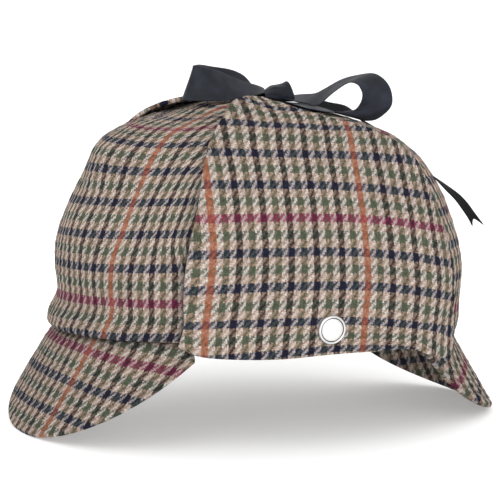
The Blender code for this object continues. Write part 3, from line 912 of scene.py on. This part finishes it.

# %% [markdown]
# ## The ribbon
# The bow is one length of soft ribbed ribbon, about 18 mm wide. Each stretch follows a line of
# points, and each point says which way the width lies, so a stretch can twist. The lines are close
# to the plain model's, and are kept clear of the cloth below. Fine ribs catch the light, and the
# back tail is a darker copy of the ribbon with a duller shine, its darkness painted shade.

# %% Sizes of the ribbon: middle line, the way the width lies, and the width, in mm
RIBBON_THICKNESS = 0.55 * MM
RIBBON_REST = 0.6 * MM
TAIL_NOTCH = 7.0 * MM
RIBBON_ACROSS = 17
RIBBON_ROUND = 0.3 * MM
RIBBON_RIB = 0.45 * MM
LIES_WITHIN = 60 * MM
RIBBON_COLUMNS = ("row", "x", "y", "z", "ax", "ay", "az", "width")
RIBBONS = {
    "ribbon_loop_back": (
        (1.5, 3.0, 115.2, 0.91, -0.41, 0.08, 11),
        (1.0, 13.6, 114.9, 0.84, -0.54, -0.12, 16),
        (1.2, 20.5, 114.9, 0.75, -0.63, -0.19, 18),
        (1.8, 26.4, 115.8, 0.75, -0.54, -0.38, 18),
        (2.6, 35.0, 121.8, 0.70, -0.64, -0.32, 18),
        (4.0, 43.9, 125.9, 0.61, -0.77, -0.19, 18),
        (5.5, 48.8, 126.0, 0.54, -0.81, -0.25, 18),
        (7.5, 51.7, 123.7, 0.39, -0.88, -0.28, 18),
        (8.8, 53.6, 120.4, 0.21, -0.95, -0.21, 18),
        (9.4, 54.1, 116.3, 0.04, -0.99, -0.12, 18),
        (9.4, 53.3, 112.8, -0.10, -0.99, -0.05, 18),
        (9.2, 51.0, 110.0, 0.00, -1.00, 0.07, 18),
        (9.6, 45.9, 107.8, 0.22, -0.93, 0.29, 18),
        (12.0, 38.2, 107.8, 0.56, -0.78, 0.29, 18),
        (13.8, 30.5, 109.3, 0.84, -0.50, 0.18, 18),
        (13.5, 23.9, 110.5, 0.93, -0.38, 0.03, 18),
        (12.0, 17.5, 111.6, 0.93, -0.37, 0.00, 18),
        (10.5, 11.7, 112.4, 0.94, -0.33, 0.00, 18),
        (6.0, 3.7, 113.3, 0.95, -0.30, 0.12, 14),
    ),
    "ribbon_loop_front": (
        (-1.0, -4.2, 118.0, 1.00, 0.00, -0.10, 10),
        (-3.5, -10.0, 117.9, 0.92, 0.00, -0.39, 13),
        (-4.5, -17.0, 118.5, 0.85, -0.05, -0.55, 16),
        (-4.8, -24.0, 119.2, 0.72, -0.07, -0.69, 18),
        (-4.8, -31.0, 119.8, 0.57, -0.10, -0.82, 18),
        (-5.5, -38.0, 120.2, 0.35, -0.15, -0.93, 18),
        (-8.6, -41.8, 120.1, 0.00, -0.25, -1.00, 18),
        (-13.2, -40.6, 119.6, -0.10, -0.25, -1.00, 18),
        (-18.0, -35.0, 119.0, 0.20, -0.25, -0.95, 18),
        (-21.5, -24.0, 119.9, 0.60, -0.15, -0.75, 18),
        (-18.5, -14.0, 120.2, 0.82, 0.00, -0.50, 16),
        (-10.8, -8.6, 117.6, 0.90, -0.30, -0.20, 11),
        (-3.8, -5.8, 115.6, 0.60, -0.80, -0.10, 6.5),
    ),
    "ribbon_tail_back": (
        (-9.0, 14.8, 114.2, 0.85, -0.50, -0.10, 9),
        (-11.5, 27.0, 111.5, 0.89, -0.43, -0.16, 16),
        (-14.0, 39.0, 108.9, 0.92, -0.36, -0.15, 18),
        (-17.0, 51.0, 106.6, 0.91, -0.40, -0.13, 18),
        (-22.0, 63.0, 101.0, 0.95, -0.30, 0.05, 18),
        (-25.5, 73.5, 94.2, 0.98, -0.15, 0.15, 18),
        (-28.0, 84.0, 87.0, 0.98, -0.15, 0.10, 18),
        (-29.0, 95.0, 80.0, 0.97, -0.20, 0.05, 18),
        (-29.0, 104.0, 74.8, 0.95, -0.30, 0.05, 18),
        (-29.0, 112.0, 70.1, 0.90, -0.44, 0.08, 18),
        (-29.0, 119.3, 65.0, 0.86, -0.52, 0.02, 18),
        (-29.0, 126.0, 60.2, 0.83, -0.56, -0.03, 18),
        (-29.0, 131.6, 54.8, 0.82, -0.56, -0.10, 18),
        (-29.0, 136.0, 49.8, 0.78, -0.61, -0.05, 18),
        (-29.0, 140.4, 44.6, 0.66, -0.75, 0.08, 18),
    ),
    "ribbon_tail_side": (
        (-8.8, 3.0, 116.8, 0.27, 0.96, 0.00, 8),
        (-14.5, 5.0, 115.8, 0.27, 0.96, 0.00, 12),
        (-24.0, 9.0, 114.6, 0.27, 0.96, -0.05, 17),
        (-34.0, 12.8, 112.4, 0.27, 0.96, -0.05, 18),
        (-42.4, 16.2, 109.9, 0.27, 0.96, 0.00, 18),
        (-52.0, 19.1, 106.4, 0.27, 0.96, 0.00, 18),
        (-60.8, 22.2, 102.1, 0.27, 0.96, 0.00, 18),
        (-68.0, 24.7, 96.7, 0.27, 0.96, 0.00, 18),
        (-73.8, 27.4, 90.0, 0.27, 0.96, 0.00, 18),
        (-77.9, 30.2, 82.0, 0.27, 0.96, 0.00, 18),
    ),
    "ribbon_tie_left": (
        (8.4, 6.4, 112.7, 0.42, 0.91, -0.08, 13),
        (15.0, 3.4, 112.4, 0.42, 0.91, -0.08, 16),
        (23.0, -0.2, 111.5, 0.42, 0.91, -0.08, 17),
        (30.9, -3.9, 110.2, 0.42, 0.91, -0.08, 17),
    ),
}
RIBBONS["ribbon_tie_right"] = [
    (-x, y, z, -ax, *rest) for x, y, z, ax, *rest in RIBBONS["ribbon_tie_left"]]


# %% Dye and rib the ribbon
def weave_ribbon(name, low, high, gloss):
    ribbon = Finish(name, Roughness=0.55, Specular_IOR_Level=0.3, IOR=gloss)
    place, _, along = ribbon.cloth_place()
    # Tone that differs at random, made strong to stand in for the satin's uneven sheen: partly
    # painted sheen.
    tone = (ribbon.noise(place, 110.0, detail=3.0) - 0.5) * 2.6 + 0.5
    ribbon.feed("Base Color", ribbon.mix(tone, low, high))
    ribs = (((along / RIBBON_RIB) % 1) * 2 - 1) ** 2
    grain = ribbon.noise(place, 2500.0)
    ribbon.relief(ribs + grain * 0.6, 0.08 * MM, 0.6)
    return ribbon.material


RIBBON = weave_ribbon("ribbon", dye(12, 14, 20), dye(36, 40, 52), 1.45)
# Painted shade: the back tail's copy of the ribbon is dyed darker, with a duller shine.
PAINTED_SHADE_RIBBON = weave_ribbon("ribbon_painted_shade", dye(8, 8, 10), dye(14, 14, 17), 1.06)


# %% Lay a stretch of ribbon along its line
def ribbon_skins(skin, face):
    """Both faces of the ribbon, which is thinner at its edges."""
    fat = (rounded(skin, RIBBON_ROUND, 0.3) * RIBBON_THICKNESS / 2)[..., None]
    return stand(skin + face * fat), stand(skin - face * fat)


def ribbon_stretch(name, cad_name, steps, cut_square=True, finish=RIBBON):
    rows = np.array([(index, *row) for index, row in enumerate(RIBBONS[cad_name])], float)
    table = Table(RIBBON_COLUMNS, rows)
    last = len(rows) - 1
    key = np.linspace(0.0, last, steps)
    here = table.at(key)
    middle = np.stack([here["x"], here["y"], here["z"]], -1) * MM
    low, high = table.at(np.maximum(key - 0.05, 0)), table.at(np.minimum(key + 0.05, last))
    along = unit(np.stack([high[c] - low[c] for c in "xyz"], -1))
    width_way = np.stack([here["ax"], here["ay"], here["az"]], -1)
    if cut_square:
        width_way = width_way - along * (width_way * along).sum(-1, keepdims=True)
    width_way = unit(width_way)
    face = unit(np.cross(width_way, along))
    spread = (crowded(RIBBON_ACROSS, 0.8) - 0.5)[None, :, None]
    width = here["width"][:, None, None] * MM
    skin = middle[:, None] + width_way[:, None] * width * spread
    floor_height = dome_height(skin[..., 0], skin[..., 1]) + RIBBON_REST
    if name.startswith("tie"):
        skin[..., 2] = floor_height
    else:
        on_top = np.hypot(skin[..., 0], skin[..., 1]) < LIES_WITHIN
        skin[..., 2] = np.where(on_top, np.maximum(skin[..., 2], floor_height), skin[..., 2])
    if "tail" in name:
        notch = TAIL_NOTCH * (np.abs(spread) * 2 - 1)
        near_end = ramp(key, last - 1, last)[:, None, None] ** 2
        skin = skin + along[:, None] * notch * near_end
    line = walked(middle)
    cloth = np.stack(np.broadcast_arrays(spread[..., 0] * width[..., 0], line[:, None]), -1)
    piece = closed_cloth(name, *ribbon_skins(skin, face[:, None]), cloth, (finish,))
    sew_on(piece, "ribbon", cad_name)
    area = float((np.diff(line) * (here["width"][1:] + here["width"][:-1]) / 2 * MM).sum())
    return piece


ribbon_stretch("bow_loop_back", "ribbon_loop_back", 160,
               cut_square=False)
ribbon_stretch("bow_loop_front", "ribbon_loop_front", 160)
ribbon_stretch("bow_tail_back", "ribbon_tail_back", 160,
               cut_square=False, finish=PAINTED_SHADE_RIBBON)
ribbon_stretch("bow_tail_side", "ribbon_tail_side", 120)
ribbon_stretch("tie_left", "ribbon_tie_left", 60)
ribbon_stretch("tie_right", "ribbon_tie_right", 60)

# %% [markdown]
# ## The knot
# A turn of ribbon binds the middle of the bow. It is pinched at the front and flares to a free
# edge at the back, where the other strands come out from under it. Seven soft pleats lie side by
# side round it, and its ends come close together below.

# %% Wrap the knot
PLEATS = 7
KNOT = Table(
    ("y", "x", "low", "high", "half_x", "slant"),
    (
        (-6.0, 1.5, 114.7, 117.2, 3.0, 0.00),
        (-3.5, 1.5, 114.2, 118.9, 3.8, 0.05),
        (-0.5, 1.5, 113.7, 120.6, 4.4, 0.15),
        (3.0, 1.5, 113.4, 121.2, 4.6, 0.28),
        (6.5, 1.2, 113.3, 122.0, 4.2, 0.38),
        (9.3, 1.0, 113.4, 123.2, 3.4, 0.45),
    ),
)


def knot():
    steps, turns = 60, 110
    along = np.linspace(KNOT.rows[0, 0], KNOT.rows[-1, 0], steps)[:, None] * np.ones(turns)
    angle = np.radians(np.linspace(-105.0, 245.0, turns))[None, :] * np.ones_like(along)
    sizes = KNOT.at(along)
    half_z, centre = (sizes["high"] - sizes["low"]) / 2, (sizes["high"] + sizes["low"]) / 2
    fading = np.maximum(ramp(along, 9, -5), 0.1)
    pleat = 1.0 + 0.05 * np.sin(PLEATS * angle + along * 0.5) * fading
    x = sizes["x"] + sizes["half_x"] * pleat * signed_power(np.cos(angle), 0.85)
    z = centre + half_z * pleat * signed_power(np.sin(angle), 0.8)
    y = along - sizes["slant"] * (z - centre)
    skin = np.stack([x, y, z], -1) * MM
    cloth = np.stack([along * MM, angle * 5 * MM], -1)
    return closed_cloth("bow_knot", *ribbon_skins(skin, grid_normals(skin)), cloth, (RIBBON,))


sew_on(knot(), "ribbon", "ribbon_knot")

# %% [markdown]
# ## The badge
# A plain round stud: a bright rolled rim, a thin groove and a bare satin face, each with its
# own finish. The groove and the stud's lowest edge take a near-black metal, which is painted
# shade.
# A real one is pressed in a die, and here one section is turned round the middle.

# %% Turn the badge
BADGE_TURN = math.radians(-0.6)
BADGE_SHARE = 0.085
BADGE_LIFT = 0.4 * MM
BADGE_SIDES = 128
BADGE_RIM, BADGE_FACE, BADGE_PAINTED_SHADE = range(3)
BADGE_SECTION = (
    (0.0, 0.0), (6.5, 0.0), (6.9, 0.15), (7.15, 0.5), (7.2, 0.9), (7.1, 1.35), (6.85, 1.7),
    (6.5, 1.9), (6.2, 1.85), (5.95, 1.65), (5.88, 1.3), (5.75, 1.25), (5.62, 1.3), (5.56, 1.5),
    (5.4, 1.62), (4.0, 1.72), (2.0, 1.8), (0.0, 1.82),
)


def badge_metal(name, colour, roughness):
    metal = Finish(name, Metallic=1.0)
    place = metal.node("ShaderNodeTexCoord", output=3)
    wear = metal.noise(place, 900.0, detail=4.0)
    metal.feed("Base Color", metal.mix(wear * 0.4, colour, tuple(c * 0.7 for c in colour)))
    metal.feed("Roughness", wear * 0.15 + roughness)
    return metal.material


def badge_skin(across, height):
    """Which of the three finishes a ring of the section takes."""
    # Painted shade: the groove, and the lowest rings where the stud meets the cloth, take the
    # near-black metal.
    if 5.57 < across < 5.9 or height < 0.6:
        return BADGE_PAINTED_SHADE
    return BADGE_FACE if across < 5.5 else BADGE_RIM


def badge():
    turn, share = np.array(BADGE_TURN), np.array(BADGE_SHARE)
    out = dome_normal(turn, share)
    seat = stand(dome(turn, share) + out * (FLAP_GAP + FLAP_THICKNESS + BADGE_LIFT))
    out = Vector(stand(out) - stand(np.zeros(3))).normalized()
    facing = Vector((0, 0, 1)).rotation_difference(out).to_matrix().to_4x4()
    sides = BADGE_SIDES
    angles = [2 * math.pi * i / sides for i in range(sides)]
    points, faces, skins = [(0.0, 0.0, 0.0)], [], []
    for radius, height in BADGE_SECTION[1:-1]:
        points += [(radius * MM * math.cos(angle), radius * MM * math.sin(angle), height * MM)
                   for angle in angles]
    points.append((0.0, 0.0, BADGE_SECTION[-1][1] * MM))
    rings = len(BADGE_SECTION) - 2
    for i in range(sides):
        j = (i + 1) % sides
        faces.append((0, 1 + j, 1 + i))
        skins.append(BADGE_RIM)
        for r in range(rings - 1):
            a, b = 1 + r * sides, 1 + (r + 1) * sides
            faces.append((a + i, a + j, b + j, b + i))
            skins.append(badge_skin(*BADGE_SECTION[r + 2]))
        a = 1 + (rings - 1) * sides
        faces.append((len(points) - 1, a + i, a + j))
        skins.append(BADGE_FACE)
    mesh = bpy.data.meshes.new("plain_badge")
    mesh.from_pydata(points, [], faces)
    mesh.materials.append(badge_metal("badge_rim", (0.72, 0.72, 0.72), 0.25))
    mesh.materials.append(badge_metal("badge_face", (0.80, 0.79, 0.77), 0.42))
    # Near-black metal that paints shade into the groove and round the stud's foot.
    mesh.materials.append(badge_metal("badge_painted_shade", (0.05, 0.05, 0.05), 0.5))
    mesh.polygons.foreach_set("material_index", skins)
    face_outward(mesh)
    mesh.shade_smooth()
    piece = placed("plain_badge", mesh)
    piece.matrix_world = Matrix.Translation(Vector(seat)) @ facing
    return piece


sew_on(badge(), "badge_metal", "badge")

# %% [markdown]
# ## Studio
# The hat stands on a pale floor that sweeps up behind it, in soft white light from all round. The
# floor glows a little, like a lit table in a studio, so the hat's shadow stays light.

# %% Floor and backdrop
FLOOR_BACK = 1.2
BEND = 1.5


def sweep():
    profile = [(-3.0, 0.0), (FLOOR_BACK, 0.0)]
    profile += [(FLOOR_BACK + BEND * math.sin(a), BEND - BEND * math.cos(a))
                for a in np.linspace(0.05, math.pi / 2, 16)]
    profile.append((FLOOR_BACK + BEND, 5.0))
    points = [(x, y, z) for y, z in profile for x in (-6.0, 6.0)]
    faces = [(2 * i, 2 * i + 1, 2 * i + 3, 2 * i + 2) for i in range(len(profile) - 1)]
    mesh = bpy.data.meshes.new("floor")
    mesh.from_pydata(points, [], faces)
    mesh.shade_smooth()
    floor = placed("floor", mesh)
    pale = Finish("floor", Roughness=0.9, Base_Color=(0.9, 0.9, 0.9, 1.0),
                  Emission_Color=(1.0, 1.0, 1.0, 1.0), Emission_Strength=0.28)
    mesh.materials.append(pale.material)
    floor.rotation_euler = (0.0, 0.0, math.radians(65.5))


sweep()

# %% Lights
def lamp(name, place, aim, size, watts):
    light = bpy.data.lights.new(name, "AREA")
    light.shape, light.size, light.energy = "DISK", size, watts
    piece = placed(name, light)
    piece.location = place
    piece.rotation_euler = (Vector(aim) - Vector(place)).to_track_quat("-Z", "Y").to_euler()


lamp("key", (1.0, -1.3, 1.6), (0, 0, 0.08), 1.6, 14)
lamp("fill", (1.5, -0.1, 0.4), (0, 0, 0.04), 1.4, 9)
world = bpy.data.worlds.new("studio")
world.use_nodes = True
sky = world.node_tree.nodes["Background"].inputs
sky[0].default_value, sky[1].default_value = (1.0, 1.0, 1.0, 1.0), 0.86
bpy.context.scene.world = world
bpy.context.scene.view_settings.view_transform = "Standard"

# %% [markdown]
# ## Camera
# A long lens from the hat's left front, a little above the rim and tipped by two degrees. The view
# is set out in pixels from the rim's middle, so it holds wherever the hat stands.

# %% Place the camera
CAMERA_AZIMUTH = math.radians(65.49)
CAMERA_ELEVATION = math.radians(11.73)
CAMERA_ROLL = math.radians(2.04)
CAMERA_DISTANCE = 1.5
CAMERA_LENS = 212.0
SENSOR_WIDTH = 36.0
CAMERA_PIXELS = 2944.1
RIM_IN_PICTURE = (5.59, 71.11)


def place_camera():
    rim = Vector(stand(np.zeros(3)))
    e, a = CAMERA_ELEVATION, CAMERA_AZIMUTH
    back = Vector((math.sin(a) * math.cos(e), -math.cos(a) * math.cos(e), math.sin(e)))
    right = Vector((math.cos(a), math.sin(a), 0.0))
    right = Matrix.Rotation(CAMERA_ROLL, 3, back) @ right
    up = back.cross(right)
    aim = -back * CAMERA_PIXELS - right * RIM_IN_PICTURE[0] + up * RIM_IN_PICTURE[1]
    backwards = -aim.normalized()
    right = (right - backwards * right.dot(backwards)).normalized()
    up = backwards.cross(right)
    turned = Matrix((right, up, backwards)).transposed().to_4x4()
    camera = placed("camera", bpy.data.cameras.new("camera"))
    camera.data.lens, camera.data.sensor_width = CAMERA_LENS, SENSOR_WIDTH
    camera.data.clip_start = 0.05
    camera.matrix_world = Matrix.Translation(rim + back * CAMERA_DISTANCE) @ turned
    bpy.context.scene.camera = camera


place_camera()
